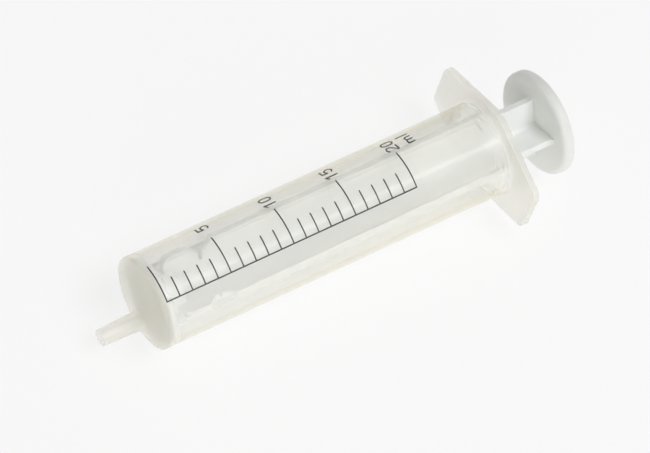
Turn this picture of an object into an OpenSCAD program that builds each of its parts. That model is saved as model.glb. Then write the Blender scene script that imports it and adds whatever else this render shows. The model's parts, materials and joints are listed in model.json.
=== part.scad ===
// Luer slip syringe of two mouldings: a graduated barrel with an off-centre tip and two finger
// wings, and a one-piece plunger with a cross-shaped rod.
// The barrel's axis is X, from the tip to the thumb rest, and x = 0 is the floor of the bore,
// where the scale reads zero. The scale lies towards +Z, the tip is set off towards -Z, and the
// wings reach along Y. The plunger is shown pushed fully home.

/* [Barrel] */
// Inner diameter of the barrel
bore_d = 20; // [19:0.1:21]
// From the floor of the bore to the front face of the finger flange
bore_l = 87.7; // [80:0.5:95]
// Thickness of the barrel's front wall
front_wall = 1.5; // [1.2:0.1:2]
// Thickness of the barrel's wall at the front
wall_front = 0.9; // [0.8:0.05:1.2]
// Thickness of the barrel's wall at the flange, thicker because of the mould's draft
wall_rear = 1.25; // [1.2:0.05:1.5]
// Rounding of the barrel's front edge
front_edge_r = 0.45; // [0.2:0.05:0.7]
// Diameter of the flared mouth at the rear face
mouth_d = 22.4; // [21.6:0.1:23]
// Depth of the flared mouth
mouth_l = 2.6; // [2:0.1:3]
// Height of the bead that keeps the seal inside
bead_h = 0.09; // [0.08:0.01:0.15]
// Length of the bead along the barrel
bead_l = 1.6; // [1.2:0.1:2]
// From the bead's crest to the front face of the flange
bead_back = 2.5; // [2.5:0.1:5]

/* [Finger flange] */
// Span over the ends of the two wings
flange_span = 37.8; // [34:0.1:42]
// Thickness of the flange
flange_t = 1.5; // [1.2:0.1:2]
// Distance of each long edge from the barrel's axis
flange_edge = 13.25; // [13:0.05:14]
// Slope of each long edge against the wings' direction, in degrees
flange_slope = 21; // [16:1:24]
// Corner radius at the ends of the wings
flange_corner_r = 2.6; // [1.5:0.1:3]
// Radius over the middle of each long side, between its two sloping edges
flange_apex_r = 5; // [3:0.5:8]
// Fillet between the barrel and the flange
flange_fillet_r = 1; // [0.5:0.1:1]

/* [Luer tip] */
// Outer diameter at the free end of the tip
tip_d = 3.96; // [3.93:0.01:4.03]
// Length of the tip in front of the barrel
tip_l = 9.8; // [8:0.1:11]
// Taper of the tip, growth in diameter over length
tip_taper_share = 0.06; // [0.06:0.01:0.06]
// Distance of the tip's axis below the barrel's axis
tip_offset = 7.65; // [0:0.05:7.7]
// Diameter of the channel through the tip
tip_bore_d = 2; // [1.6:0.1:2.4]
// Fillet between the tip and the front wall
tip_fillet_r = 1; // [0.5:0.1:1.2]
// Chamfer around the tip's free end
tip_chamfer = 0.2; // [0.1:0.05:0.4]

/* [Printed scale] */
// Volume at the last mark, in millilitres, with one mark for each
full_volume = 20; // [10:5:20]
// Length of the scale from zero to the last mark, which matches the bore at 3.183 mm per ml
scale_l = 63.66; // [50:0.01:70]
// Width of the printed lines
line_w = 0.3; // [0.2:0.02:0.4]
// Thickness of the ink
ink_t = 0.05; // [0.03:0.01:0.08]
// Hairline between the ink and the wall, which keeps the two solids apart
ink_gap = 0.01; // [0.005:0.005:0.02]
// Distance of the base line from the top line, around the barrel
base_arc = 5.87; // [4:0.01:7]
// Length of a short mark, around the barrel
short_mark_l = 4.5; // [3:0.1:6]
// Length of a long mark, around the barrel
long_mark_l = 9.1; // [7:0.1:9.5]
// Height of a numeral, along the barrel
digit_h = 3.1; // [2.4:0.1:3.2]
// Width of a numeral, around the barrel
digit_w = 1.9; // [1.6:0.1:2]
// Distance between the centres of two digits
digit_pitch = 2.36; // [2.2:0.02:2.8]
// Width of the strokes in numerals and letters
stroke_w = 0.36; // [0.3:0.02:0.4]
// Middle of the numerals, from the top line around the barrel
numeral_arc = 6.15; // [5.8:0.05:7]
// From the foot of the last numeral to the foot of the unit letters
unit_drop = 4.3; // [4:0.1:5]

/* [Plunger seal] */
// Radial clearance between the seal and the bore
seal_clearance = 0.03; // [0.02:0.01:0.08]
// Gap between the plunger's front face and the floor of the bore
floor_gap = 0.1; // [0.05:0.05:0.3]
// Thickness of the seal at the wall of the bore
seal_t = 1.1; // [0.8:0.1:1.6]
// Chamfer on the seal's front edge
seal_chamfer = 0.2; // [0.1:0.05:0.3]
// Diameter where the seal's back runs into the hub
seal_root_d = 17; // [15:0.5:18]
// Length of the sloping back of the seal
seal_slope_l = 0.5; // [0.3:0.1:0.8]
// Diameter of the hub behind the seal
hub_d = 12.2; // [10:0.2:13]
// From the plunger's front face to the front edges of the ribs
rib_start = 4; // [3.4:0.1:4.5]

/* [Plunger rod] */
// Radial clearance between the ribs and the bore
rib_clearance = 0.2; // [0.15:0.05:0.4]
// Thickness of the ribs
rib_t = 1.6; // [1.2:0.1:2]
// Fillet where the ribs meet along the rod's middle
core_r = 1; // [0.5:0.1:1.5]
// Rounding of the ribs' front corners
rib_front_r = 1.9; // [1:0.1:2.2]
// From the plunger's front face to the middle of the neck in the ribs
neck_x = 13.1; // [12:0.1:15]
// Length of the wide part of the neck, with its sloping sides
neck_l = 6.6; // [6:0.1:7]
// Length of the shallow floor of the neck
neck_floor_l = 2.2; // [1.8:0.1:2.6]
// Depth of the shallow floor of the neck
neck_depth = 1.9; // [1:0.1:2.5]
// Length of the slot in the floor of the neck
slot_l = 1; // [0.6:0.1:1.2]
// Depth of the slot below the ribs' outer edges
slot_depth = 4.2; // [3:0.1:5]
// Rounding of the neck's shoulders
neck_r = 1.2; // [0.6:0.1:1.5]
// Diameter over the ribs behind the flange
rod_d = 15.4; // [14:0.1:17]
// Length of the shoulder between the two rib sizes
shoulder_l = 1.6; // [1:0.1:2.5]
// From the rear face of the flange to the shoulder
shoulder_gap = 0.5; // [0.3:0.1:1]
// Angle of the first rib from the top line, about the barrel's axis
rod_turn = 26; // [0:1:89]

/* [Thumb rest] */
// Diameter of the thumb rest
thumb_d = 25.2; // [22:0.1:28]
// Thickness of the thumb rest
thumb_t = 2.8; // [2.4:0.1:3.6]
// From the rear face of the flange to the thumb rest
thumb_gap = 12.2; // [10:0.1:16]
// Rounding of the thumb rest's front edge
thumb_front_r = 1.3; // [0.5:0.1:1.5]
// Rounding of the thumb rest's rear edge
thumb_rear_r = 0.5; // [0.3:0.1:0.8]
// Fillet where the ribs run into the thumb rest
thumb_fillet_r = 1.2; // [0.5:0.1:1.6]
// Radii of the two grip grooves in the thumb rest's rear face
groove_r = [5.2, 8.6];
// Width of a grip groove
groove_w = 0.9; // [0.6:0.1:1.2]
// Depth of a grip groove
groove_depth = 0.3; // [0.2:0.05:0.5]

/* [Hidden] */
$fn = 96;
// Steps in the arcs of numerals and letters
arc_steps = 20;
// Share of a fillet's foot that its radius takes, so that the arc ends inside its edges
fillet_share = 0.98;
// Overrun of every cut past the face it goes through
over = 0.5;

bore_r = bore_d / 2;
flange_rear = bore_l + flange_t;
bead_x = bore_l - bead_back;
taper_share = (wall_rear - wall_front) / bore_l;

major_every = 5;
mark_pitch = scale_l / full_volume;

plunger_front = floor_gap;
seal_r = bore_r - seal_clearance;
rib_r = bore_r - rib_clearance;
rod_r = rod_d / 2;
thumb_front = flange_rear + thumb_gap;
thumb_rear = thumb_front + thumb_t;
shoulder_x = flange_rear + shoulder_gap;

barrel_colour = [0.88, 0.87, 0.82, 0.6];
plunger_colour = [0.93, 0.94, 0.94];
ink_colour = [0.08, 0.08, 0.08];

// Outer radius of the barrel at a place along it
function barrel_r(x) = bore_r + wall_front + taper_share * x;

// Angle about the axis of an arc length on the printed part of the barrel
function arc_angle(arc) = arc / barrel_r(scale_l / 2) * 180 / PI;

// Turns a solid of revolution about Z, drawn with its height as x, onto the X axis
module about_x() {
    mirror([1, 0, 0]) rotate([0, -90, 0]) children();
}

// Sets a plate drawn with the distance from the axis across and x upwards into its plane
module upright() {
    rotate([0, -90, -90]) children();
}

// Distance from corner b to where its rounding meets each edge, and the rounding's centre
function half_angle(a, b, c) = acos(((a - b) / norm(a - b)) * ((c - b) / norm(c - b))) / 2;
function tangent_l(a, b, c, r) = r / tan(half_angle(a, b, c));
function round_centre(a, b, c, r) =
    let (middle = (a - b) / norm(a - b) + (c - b) / norm(c - b))
    b + middle / norm(middle) * r / sin(half_angle(a, b, c));

// Outline through the corners [x, y, r], anticlockwise, each rounded by its radius r, which is
// left out where the corner is sharp
module rounded(corners) {
    n = len(corners);
    p = [for (k = corners) [k.x, k.y]];
    before = [for (i = [0:n - 1]) p[(i + n - 1) % n]];
    after = [for (i = [0:n - 1]) p[(i + 1) % n]];
    round_at = [for (i = [0:n - 1]) if (len(corners[i]) > 2) i];
    bends = [for (i = [0:n - 1]) sign(cross(p[i] - before[i], after[i] - p[i]))];
    difference() {
        union() {
            polygon([for (i = [0:n - 1])
                let (
                    a = before[i],
                    b = p[i],
                    c = after[i],
                    l = len(corners[i]) > 2 ? tangent_l(a, b, c, corners[i][2]) : 0
                )
                each l > 0
                    ? [b + (a - b) / norm(a - b) * l, b + (c - b) / norm(c - b) * l]
                    : [b]]);
            for (i = round_at) if (bends[i] > 0)
                translate(round_centre(before[i], p[i], after[i], corners[i][2]))
                    circle(corners[i][2]);
        }
        for (i = round_at) if (bends[i] < 0)
            translate(round_centre(before[i], p[i], after[i], corners[i][2]))
                circle(corners[i][2]);
    }
}

// Barrel

// Half section of the tube, radius against place along the axis
module tube_section() {
    collar_r = barrel_r(bore_l) + flange_fillet_r;
    edge_r = barrel_r(-front_wall);
    step = front_edge_r * (1 - cos(45));
    rounded([
        [0, -front_wall],
        [edge_r - front_edge_r, -front_wall],
        [edge_r - step, -front_wall + step],
        [barrel_r(front_edge_r - front_wall), front_edge_r - front_wall],
        [barrel_r(bore_l), bore_l, flange_fillet_r * fillet_share],
        [collar_r, bore_l],
        [collar_r, flange_rear],
        [mouth_d / 2, flange_rear],
        [bore_r, flange_rear - mouth_l],
        [bore_r, bead_x + bead_l / 2],
        [bore_r - bead_h, bead_x + bead_l / 6],
        [bore_r - bead_h, bead_x - bead_l / 6],
        [bore_r, bead_x - bead_l / 2],
        [bore_r, 0],
        [0, 0]
    ]);
}

// Outline of the finger flange, with x up and y along the wings
module flange_outline() {
    end_y = flange_span / 2;
    apex_x = flange_edge / cos(flange_slope);
    corner_x = apex_x - end_y * tan(flange_slope);
    rounded([
        [apex_x, 0, flange_apex_r],
        [corner_x, end_y, flange_corner_r],
        [-corner_x, end_y, flange_corner_r],
        [-apex_x, 0, flange_apex_r],
        [-corner_x, -end_y, flange_corner_r],
        [corner_x, -end_y, flange_corner_r]
    ]);
}

module flange() {
    hole_r = (mouth_d / 2 + barrel_r(bore_l) + flange_fillet_r) / 2;
    difference() {
        about_x() translate([0, 0, bore_l]) linear_extrude(flange_t) flange_outline();
        about_x() translate([0, 0, bore_l - over]) cylinder(r = hole_r, h = flange_t + 2 * over);
    }
}

// Half section of the tip about its own axis, with the fillet at its root
module tip_section() {
    end_r = tip_d / 2;
    root_r = end_r + tip_taper_share * tip_l / 2;
    foot = -front_wall + front_wall / 2;
    rounded([
        [0, -front_wall - tip_l],
        [end_r - tip_chamfer, -front_wall - tip_l],
        [end_r, -front_wall - tip_l + tip_chamfer],
        [root_r, -front_wall, tip_fillet_r * fillet_share],
        [root_r + tip_fillet_r, -front_wall],
        [root_r + tip_fillet_r, foot],
        [0, foot]
    ]);
}

module tip() {
    intersection() {
        about_x() translate([-tip_offset, 0, 0]) rotate_extrude() tip_section();
        about_x() translate([0, 0, -front_wall - tip_l - over])
            cylinder(r = barrel_r(-front_wall) - front_edge_r / 2, h = tip_l + front_wall + over);
    }
}

module barrel() {
    color(barrel_colour) difference() {
        union() {
            about_x() rotate_extrude() tube_section();
            flange();
            tip();
        }
        about_x() translate([-tip_offset, 0, -front_wall - tip_l - over])
            cylinder(d = tip_bore_d, h = tip_l + front_wall + 2 * over);
    }
}

// Printed scale

// Ring of ink on the barrel from x0 to x1, between two angles from the top line towards +Y
module ink_band(x0, x1, from, to) {
    low = ink_gap;
    high = ink_gap + ink_t;
    about_x() rotate([0, 0, from]) rotate_extrude(angle = to - from) polygon([
        [barrel_r(x0) + low, x0],
        [barrel_r(x0) + high, x0],
        [barrel_r(x1) + high, x1],
        [barrel_r(x1) + low, x1]
    ]);
}

base_from = arc_angle(-base_arc - line_w / 2);
base_to = arc_angle(-base_arc + line_w / 2);

module base_line() {
    color(ink_colour) ink_band(-line_w / 2, scale_l + line_w / 2, base_from, base_to);
}

module mark(i) {
    x = i * mark_pitch;
    l = i % major_every == 0 ? long_mark_l : short_mark_l;
    color(ink_colour) ink_band(x - line_w / 2, x + line_w / 2, base_to, base_to + arc_angle(l));
}

// Straight stroke with square ends
module stroke(from, to) {
    way = to - from;
    translate(from) rotate(atan2(way.y, way.x)) translate([0, -stroke_w / 2])
        square([norm(way), stroke_w]);
}

// Points along an arc about a centre, between two angles
function arc_points(centre, r, from, to) =
    [for (i = [0:arc_steps]) let (t = from + (to - from) * i / arc_steps)
        centre + r * [cos(t), sin(t)]];

// Curved stroke about a centre, between two angles
module bow(centre, r, from, to) {
    polygon(concat(
        arc_points(centre, r + stroke_w / 2, from, to),
        arc_points(centre, r - stroke_w / 2, to, from)
    ));
}

// Radius of the middle of a digit's round strokes
bow_r = (digit_w - stroke_w) / 2;
top_y = digit_h - stroke_w / 2;
foot_y = stroke_w / 2;

module digit_0() {
    bow([0, digit_h - stroke_w / 2 - bow_r], bow_r, 0, 180);
    bow([0, foot_y + bow_r], bow_r, 180, 360);
    stroke([bow_r, foot_y + bow_r], [bow_r, top_y - bow_r]);
    stroke([-bow_r, foot_y + bow_r], [-bow_r, top_y - bow_r]);
}

module digit_1() {
    stem_x = stroke_w / 3;
    stroke([stem_x, 0], [stem_x, digit_h]);
    stroke([stem_x, digit_h - stroke_w / 3], [stem_x - bow_r, digit_h - bow_r]);
}

module digit_2() {
    centre = [0, top_y - bow_r];
    bend = -35;
    polygon(concat(
        arc_points(centre, bow_r + stroke_w / 2, 165, bend),
        [
            [-bow_r + stroke_w / 2, stroke_w],
            [digit_w / 2, stroke_w],
            [digit_w / 2, 0],
            [-digit_w / 2, 0],
            [-digit_w / 2, stroke_w]
        ],
        arc_points(centre, bow_r - stroke_w / 2, bend, 165)
    ));
}

module digit_5() {
    left = -digit_w / 2;
    belly_r = bow_r * 1.12;
    centre = [0, foot_y + belly_r];
    outer_r = belly_r + stroke_w / 2;
    meet = acos((left + stroke_w) / outer_r);
    polygon(concat(
        [
            [left, centre.y + belly_r * 0.4],
            [left, digit_h],
            [digit_w / 2 - stroke_w / 2, digit_h],
            [digit_w / 2 - stroke_w / 2, digit_h - stroke_w],
            [left + stroke_w, digit_h - stroke_w]
        ],
        arc_points(centre, outer_r, meet, -150),
        arc_points(centre, belly_r - stroke_w / 2, -150, 145)
    ));
}

module digit(n) {
    if (n == 0) digit_0();
    if (n == 1) digit_1();
    if (n == 2) digit_2();
    if (n == 5) digit_5();
}

// Small letter m, three stems under two bows
module letter_m() {
    arch_r = digit_pitch / 4;
    spring_y = x_height - stroke_w / 2 - arch_r;
    for (side = [-1, 0, 1]) stroke([side * arch_r * 2, 0], [side * arch_r * 2, spring_y]);
    stroke([-arch_r * 2, spring_y], [-arch_r * 2, x_height]);
    for (side = [-1, 1]) bow([side * arch_r, spring_y], arch_r, 0, 180);
}

x_height = digit_h * 0.6;

module letter_l() {
    stroke([0, 0], [0, digit_h]);
}

// Shell of ink around the barrel from x0 to x1
module ink_shell(x0, x1) {
    ink_band(x0, x1, 0, 360);
}

// Sets a flat shape, read towards +Y with its foot at x, onto the barrel at an arc from the top
module printed(x, arc) {
    reach = digit_h + line_w;
    intersection() {
        rotate([-arc_angle(arc), 0, 0]) translate([x, 0, bore_r - wall_front])
            rotate([0, 0, 90]) linear_extrude(3 * wall_rear) children();
        ink_shell(x - reach, x + line_w);
    }
}

module numeral(value) {
    foot_x = value * mark_pitch + digit_h / 2;
    tens = floor(value / 10);
    color(ink_colour) {
        if (tens > 0) printed(foot_x, numeral_arc - digit_pitch / 2) digit(tens);
        printed(foot_x, numeral_arc + digit_pitch / 2) digit(value % 10);
    }
}

module unit_ml() {
    foot_x = scale_l + digit_h / 2 + unit_drop;
    color(ink_colour) {
        printed(foot_x, numeral_arc - digit_pitch / 4) letter_m();
        printed(foot_x, numeral_arc + digit_pitch * 3 / 4) letter_l();
    }
}

// Plunger

// Half section of the seal and the hub
module seal_section() {
    back = plunger_front + seal_t;
    polygon([
        [0, plunger_front],
        [seal_r - seal_chamfer, plunger_front],
        [seal_r, plunger_front + seal_chamfer],
        [seal_r, back],
        [seal_root_d / 2, back + seal_slope_l],
        [hub_d / 2, back + seal_slope_l],
        [hub_d / 2, plunger_front + rib_start + rib_front_r],
        [0, plunger_front + rib_start + rib_front_r]
    ]);
}

// Half of the ribs' side outline, distance from the axis against place along it
module rib_half() {
    front = plunger_front + rib_start;
    neck = plunger_front + neck_x;
    floor_r = rib_r - neck_depth;
    rounded([
        [0, front],
        [rib_r, front, rib_front_r],
        [rib_r, neck - neck_l / 2, neck_r],
        [floor_r, neck - neck_floor_l / 2],
        [floor_r, neck - slot_l / 2],
        [rib_r - slot_depth, neck - slot_l / 2],
        [rib_r - slot_depth, neck + slot_l / 2],
        [floor_r, neck + slot_l / 2],
        [floor_r, neck + neck_floor_l / 2],
        [rib_r, neck + neck_l / 2, neck_r],
        [rib_r, shoulder_x, shoulder_l / 3],
        [rod_r, shoulder_x + shoulder_l, shoulder_l / 3],
        [rod_r, thumb_front, thumb_fillet_r * fillet_share],
        [rod_r + thumb_fillet_r, thumb_front],
        [rod_r + thumb_fillet_r, thumb_front + thumb_t / 2],
        [0, thumb_front + thumb_t / 2]
    ]);
}

// Two opposite ribs as one plate, cut to the ribs' side outline
module rib_pair() {
    for (turn = [0, 180]) rotate([turn, 0, 0]) upright()
        translate([0, 0, -rib_t / 2]) linear_extrude(rib_t) rib_half();
}

// Fillets along the middle of the rod, where the four ribs meet
module core() {
    arm = rib_t / 2;
    reach = arm + core_r / fillet_share;
    start = plunger_front + rib_start;
    about_x() translate([0, 0, start]) linear_extrude(thumb_front + over - start) rounded([
        [reach, -arm], [reach, arm], [arm, arm, core_r],
        [arm, reach], [-arm, reach], [-arm, arm, core_r],
        [-reach, arm], [-reach, -arm], [-arm, -arm, core_r],
        [-arm, -reach], [arm, -reach], [arm, -arm, core_r]
    ]);
}

// Half section of the thumb rest
module thumb_section() {
    rounded([
        [0, thumb_front],
        [thumb_d / 2, thumb_front, thumb_front_r],
        [thumb_d / 2, thumb_rear, thumb_rear_r],
        [0, thumb_rear]
    ]);
}

module groove(r) {
    about_x() rotate_extrude() translate([r - groove_w / 2, thumb_rear - groove_depth])
        square([groove_w, groove_depth + over]);
}

module plunger() {
    color(plunger_colour) difference() {
        union() {
            about_x() rotate_extrude() seal_section();
            rotate([90 - rod_turn, 0, 0]) rib_pair();
            rotate([-rod_turn, 0, 0]) rib_pair();
            rotate([-rod_turn, 0, 0]) core();
            about_x() rotate_extrude() thumb_section();
        }
        for (r = groove_r) groove(r);
    }
}

barrel();
plunger();
base_line();
for (i = [0:full_volume])
    mark(i);
for (v = [major_every:major_every:full_volume])
    numeral(v);
unit_ml();
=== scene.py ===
# Luer slip syringe: looks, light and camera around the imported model.
# The frame runs +X from the tip to the thumb rest and +Z towards the scale, with the wings along Y.
import json

import bpy
from mathutils import Matrix, Vector


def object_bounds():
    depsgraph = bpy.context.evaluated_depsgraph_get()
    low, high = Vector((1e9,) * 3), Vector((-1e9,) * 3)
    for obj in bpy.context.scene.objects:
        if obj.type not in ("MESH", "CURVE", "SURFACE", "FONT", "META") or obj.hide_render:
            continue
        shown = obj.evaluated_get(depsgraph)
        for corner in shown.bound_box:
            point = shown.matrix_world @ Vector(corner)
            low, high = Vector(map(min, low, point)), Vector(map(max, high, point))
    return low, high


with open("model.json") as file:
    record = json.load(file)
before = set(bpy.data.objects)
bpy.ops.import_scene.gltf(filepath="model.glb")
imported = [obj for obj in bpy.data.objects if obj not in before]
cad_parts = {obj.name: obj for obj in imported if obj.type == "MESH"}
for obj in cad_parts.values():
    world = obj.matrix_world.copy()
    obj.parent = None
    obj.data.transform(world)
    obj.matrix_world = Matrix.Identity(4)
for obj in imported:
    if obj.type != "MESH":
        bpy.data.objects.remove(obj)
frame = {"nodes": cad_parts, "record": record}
cad_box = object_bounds()

MM = 0.001
WHITE = (1, 1, 1, 1)

# The middle of the syringe, where the lamps point
MIDDLE = (0.05, 0, 0)

# Camera

PHOTO_WIDTH = 650
FOCAL_PX = 3025
SENSOR_MM = 36
CLIP_NEAR = 0.05
CLIP_FAR = 20
EYE = Vector((-0.20864, -0.22525, 0.57586))
RIGHT = Vector((0.84057, -0.51465, 0.16906))
UP = Vector((0.3872, 0.78907, 0.47692))
BACK = Vector((-0.37884, -0.33542, 0.86254))

camera_data = bpy.data.cameras.new("camera")
camera_data.sensor_width = SENSOR_MM
camera_data.lens = FOCAL_PX / PHOTO_WIDTH * SENSOR_MM
camera_data.clip_start = CLIP_NEAR
camera_data.clip_end = CLIP_FAR
camera = bpy.data.objects.new("camera", camera_data)
camera.matrix_world = Matrix.Translation(EYE) @ Matrix((RIGHT, UP, BACK)).transposed().to_4x4()
bpy.context.scene.collection.objects.link(camera)
bpy.context.scene.camera = camera
bpy.context.scene.view_settings.view_transform = "Standard"

# Materials

# The range where nearly all values of a noise texture lie
NOISE_LOW = 0.35
NOISE_HIGH = 0.65

# Layers of noise in the plastics and in the ink
DETAIL = 4
INK_DETAIL = 3


class Shader:
    """A new material with its Principled shader, and short ways to add and join nodes."""

    def __init__(self, name):
        self.material = bpy.data.materials.new(name)
        self.material.use_nodes = True
        self.tree = self.material.node_tree
        self.main = self.tree.nodes["Principled BSDF"]
        self.out = self.tree.nodes["Material Output"]
        self.place = self.node("ShaderNodeTexCoord").outputs["Object"]

    def node(self, kind, **settings):
        made = self.tree.nodes.new(kind)
        for key, value in settings.items():
            setattr(made, key, value)
        return made

    def join(self, source, target):
        self.tree.links.new(source, target)

    def set(self, **values):
        for key, value in values.items():
            self.main.inputs[key.replace("_", " ")].default_value = value

    def along(self):
        """The place along the syringe's axis."""
        made = self.node("ShaderNodeSeparateXYZ")
        self.join(self.place, made.inputs["Vector"])
        return made.outputs["X"]

    def stretched(self, scale):
        made = self.node("ShaderNodeMapping")
        made.inputs["Scale"].default_value = scale
        self.join(self.place, made.inputs["Vector"])
        return made.outputs["Vector"]

    def add(self, first, second):
        made = self.node("ShaderNodeMath", operation="ADD")
        self.join(first, made.inputs[0])
        self.join(second, made.inputs[1])
        return made.outputs["Value"]

    def mixed(self, share, first, second):
        made = self.node("ShaderNodeMix", data_type="RGBA")
        self.join(share, made.inputs["Factor"])
        self.join(first, made.inputs["A"])
        self.join(second, made.inputs["B"])
        return made.outputs["Result"]

    def noise(self, scale, detail, vector=None):
        made = self.node("ShaderNodeTexNoise")
        made.inputs["Scale"].default_value = scale
        made.inputs["Detail"].default_value = detail
        self.join(vector or self.place, made.inputs["Vector"])
        return made.outputs["Fac"]

    def between(self, value, low, high, start=NOISE_LOW, end=NOISE_HIGH):
        made = self.node("ShaderNodeMapRange")
        made.inputs["From Min"].default_value = start
        made.inputs["From Max"].default_value = end
        made.inputs["To Min"].default_value = low
        made.inputs["To Max"].default_value = high
        self.join(value, made.inputs["Value"])
        return made.outputs["Result"]

    def ramp(self, value, low, high):
        made = self.node("ShaderNodeValToRGB")
        first, last = made.color_ramp.elements
        first.position = NOISE_LOW
        last.position = NOISE_HIGH
        first.color = (*low, 1)
        last.color = (*high, 1)
        self.join(value, made.inputs["Fac"])
        return made.outputs["Color"]

    def bump(self, value, strength, distance):
        made = self.node("ShaderNodeBump")
        made.inputs["Strength"].default_value = strength
        made.inputs["Distance"].default_value = distance
        self.join(value, made.inputs["Height"])
        self.join(made.outputs["Normal"], self.main.inputs["Normal"])


# Barrel: places along the axis where its finish changes
FRONT_WALL = 1.5 * MM
FLANGE_T = 1.5 * MM
FLANGE_FILLET = 1 * MM
HAZE = 12 * MM
barrel = frame["nodes"]["barrel"]
flange_x = max(corner[0] for corner in barrel.bound_box) - FLANGE_T

# Barrel: clear in the tube, hazier near the flange, milky in the thick ends
BARREL_IOR = 1.49
BARREL_CLEARNESS = 0.65
BARREL_TINT = (0.973, 0.962, 0.915, 1)
BARREL_TINT_DENSITY = 330
BARREL_CLOUD = 90
BARREL_FLOW = 220
BARREL_STRETCH = (0.2, 1, 1)
THIN_TONES = (0.965, 0.962, 0.948), (0.985, 0.982, 0.97)
THICK_TONES = (0.935, 0.928, 0.898), (0.96, 0.953, 0.925)
TUBE_ROUGHNESS = 0.18, 0.24
END_ROUGHNESS = 0.38, 0.46
TUBE_ALPHA = 0.25
END_ALPHA = 0.52
HAZE_SHARE = 0.7


def barrel_plastic():
    s = Shader("barrel_plastic")
    s.set(IOR=BARREL_IOR, Transmission_Weight=BARREL_CLEARNESS)
    tint = s.node("ShaderNodeVolumeAbsorption")
    tint.inputs["Color"].default_value = BARREL_TINT
    tint.inputs["Density"].default_value = BARREL_TINT_DENSITY
    s.join(tint.outputs["Volume"], s.out.inputs["Volume"])
    x = s.along()
    tip = s.between(x, 1, 0, -FRONT_WALL, 0)
    front = s.between(x, 1, 0, 0, FRONT_WALL)
    rear = s.between(x, 0, 1, flange_x - FLANGE_FILLET, flange_x)
    cloud = s.noise(BARREL_CLOUD, DETAIL)
    thin = s.ramp(cloud, *THIN_TONES)
    thick = s.ramp(cloud, *THICK_TONES)
    s.join(s.mixed(s.add(tip, rear), thin, thick), s.main.inputs["Base Color"])
    flow = s.noise(BARREL_FLOW, DETAIL, s.stretched(BARREL_STRETCH))
    ends = s.add(front, rear)
    tube_grain = s.between(flow, *TUBE_ROUGHNESS)
    end_grain = s.between(flow, *END_ROUGHNESS)
    s.join(s.mixed(ends, tube_grain, end_grain), s.main.inputs["Roughness"])
    haze = s.between(x, 0, HAZE_SHARE, flange_x - HAZE, flange_x - FLANGE_FILLET)
    s.join(s.between(s.add(ends, haze), TUBE_ALPHA, END_ALPHA, 0, 1), s.main.inputs["Alpha"])
    return s.material


# Plunger: place along the axis where the thumb rest begins and its painted shade is full
THUMB_T = 2.8 * MM
THUMB_SHADE_FADE = 3 * MM
plunger = frame["nodes"]["plunger"]
thumb_x = max(corner[0] for corner in plunger.bound_box) - THUMB_T

# Plunger: white and a little translucent, with painted shade on the thumb rest, a darker and warmer
# tone standing in for the shade its face lies in
PLUNGER_IOR = 1.5
PLUNGER_GLOW = 0.25
PLUNGER_GLOW_DEPTH = 4 * MM
PLUNGER_GLOW_RADII = (1, 0.98, 0.95)
PLUNGER_CLOUD = 120
PLUNGER_FLOW = 260
PLUNGER_STRETCH = (0.25, 1, 1)
STEM_TONES = (0.845, 0.863, 0.847), (0.875, 0.89, 0.874)
# Painted shade: the thumb rest's tones are a darker, warmer copy of the stem's tones
THUMB_SHADE_TONES = (0.785, 0.795, 0.762), (0.815, 0.825, 0.792)
PLUNGER_ROUGHNESS = 0.36, 0.5
PLUNGER_BUMP = 0.15
PLUNGER_BUMP_DEPTH = 0.06 * MM


def plunger_plastic():
    s = Shader("plunger_plastic")
    s.set(IOR=PLUNGER_IOR, Subsurface_Weight=PLUNGER_GLOW, Subsurface_Scale=PLUNGER_GLOW_DEPTH)
    s.set(Subsurface_Radius=PLUNGER_GLOW_RADII)
    cloud = s.noise(PLUNGER_CLOUD, DETAIL)
    # Mask of the painted shade, fading in over the last millimetres before the thumb rest and full
    # on it
    thumb_shade = s.between(s.along(), 0, 1, thumb_x - THUMB_SHADE_FADE, thumb_x)
    stem_tone = s.ramp(cloud, *STEM_TONES)
    thumb_shade_tone = s.ramp(cloud, *THUMB_SHADE_TONES)
    s.join(s.mixed(thumb_shade, stem_tone, thumb_shade_tone), s.main.inputs["Base Color"])
    flow = s.noise(PLUNGER_FLOW, DETAIL, s.stretched(PLUNGER_STRETCH))
    s.join(s.between(flow, *PLUNGER_ROUGHNESS), s.main.inputs["Roughness"])
    s.bump(flow, PLUNGER_BUMP, PLUNGER_BUMP_DEPTH)
    return s.material


# Print: matt black ink with a fine grain
INK_GRAIN = 4000
INK_TONES = (0.012, 0.012, 0.012), (0.035, 0.034, 0.033)
INK_ROUGHNESS = 0.4, 0.6
INK_BUMP = 0.2
INK_BUMP_DEPTH = 0.02 * MM


def scale_ink():
    s = Shader("scale_ink")
    grain = s.noise(INK_GRAIN, INK_DETAIL)
    s.join(s.ramp(grain, *INK_TONES), s.main.inputs["Base Color"])
    s.join(s.between(grain, *INK_ROUGHNESS), s.main.inputs["Roughness"])
    s.bump(grain, INK_BUMP, INK_BUMP_DEPTH)
    return s.material


looks = {
    "barrel_plastic": barrel_plastic(),
    "plunger_plastic": plunger_plastic(),
    "scale_ink": scale_ink(),
}
for part in frame["record"]["subparts"]:
    data = frame["nodes"][part["node"]].data
    data.materials.clear()
    data.materials.append(looks[part["material_slot"]])

# Floor: white to the eye, with enough lit surface to keep the object's shadow

FLOOR_SIZE = 12
FLOOR_LIT = (0.92, 0.92, 0.92, 1)
FLOOR_SEEN_SHARE = 0.76


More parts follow.
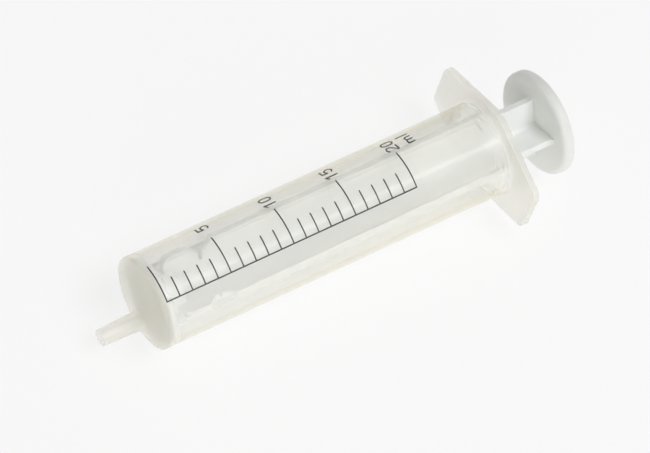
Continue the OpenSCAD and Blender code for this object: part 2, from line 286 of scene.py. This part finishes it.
def floor_material():
    made = bpy.data.materials.new("floor_white")
    made.use_nodes = True
    nodes = made.node_tree.nodes
    links = made.node_tree.links
    nodes.clear()
    out = nodes.new("ShaderNodeOutputMaterial")
    seen = nodes.new("ShaderNodeEmission")
    seen.inputs["Color"].default_value = WHITE
    lit = nodes.new("ShaderNodeBsdfDiffuse")
    lit.inputs["Color"].default_value = FLOOR_LIT
    both = nodes.new("ShaderNodeMixShader")
    both.inputs["Fac"].default_value = FLOOR_SEEN_SHARE
    links.new(lit.outputs["BSDF"], both.inputs[1])
    links.new(seen.outputs["Emission"], both.inputs[2])
    links.new(both.outputs["Shader"], out.inputs["Surface"])
    return made


floor_z = cad_box[0][2]
bpy.ops.mesh.primitive_plane_add(size=FLOOR_SIZE, location=(MIDDLE[0], MIDDLE[1], floor_z))
floor = bpy.context.object
floor.name = "floor"
floor.data.materials.append(floor_material())

# World: as white as the floor where it is seen, and dimmer as a light

WORLD_LIGHT = 0.36
WORLD_SEEN = 0.94


def seen_straight(tree):
    """1 for rays from the camera, off gloss or through clear plastic, and 0 for all others."""
    path = tree.nodes.new("ShaderNodeLightPath")
    straight = path.outputs["Is Camera Ray"]
    for kind in ("Is Glossy Ray", "Is Transmission Ray"):
        either = tree.nodes.new("ShaderNodeMath")
        either.operation = "MAXIMUM"
        tree.links.new(straight, either.inputs[0])
        tree.links.new(path.outputs[kind], either.inputs[1])
        straight = either.outputs["Value"]
    return straight


world = bpy.data.worlds.new("studio")
world.use_nodes = True
sky = world.node_tree.nodes["Background"]
sky.inputs["Color"].default_value = WHITE
level = world.node_tree.nodes.new("ShaderNodeMapRange")
level.inputs["To Min"].default_value = WORLD_LIGHT
level.inputs["To Max"].default_value = WORLD_SEEN
world.node_tree.links.new(seen_straight(world.node_tree), level.inputs["Value"])
world.node_tree.links.new(level.outputs["Result"], sky.inputs["Strength"])
bpy.context.scene.world = world

# Lamps: a soft key from above on the near side, and a low soft fill from the front

LAMPS = {
    "key": {"place": (0.3, -0.45, 1.1), "size": 0.7, "power": 6.6},
    "fill": {"place": (-0.45, -1, 0.35), "size": 0.8, "power": 3.2},
}


def lamp(name, place, size, power):
    data = bpy.data.lights.new(name, "AREA")
    data.shape = "DISK"
    data.size = size
    data.energy = power
    made = bpy.data.objects.new(name, data)
    made.location = place
    made.rotation_euler = (Vector(MIDDLE) - Vector(place)).to_track_quat("-Z", "Y").to_euler()
    bpy.context.scene.collection.objects.link(made)


for name, values in LAMPS.items():
    lamp(name, **values)
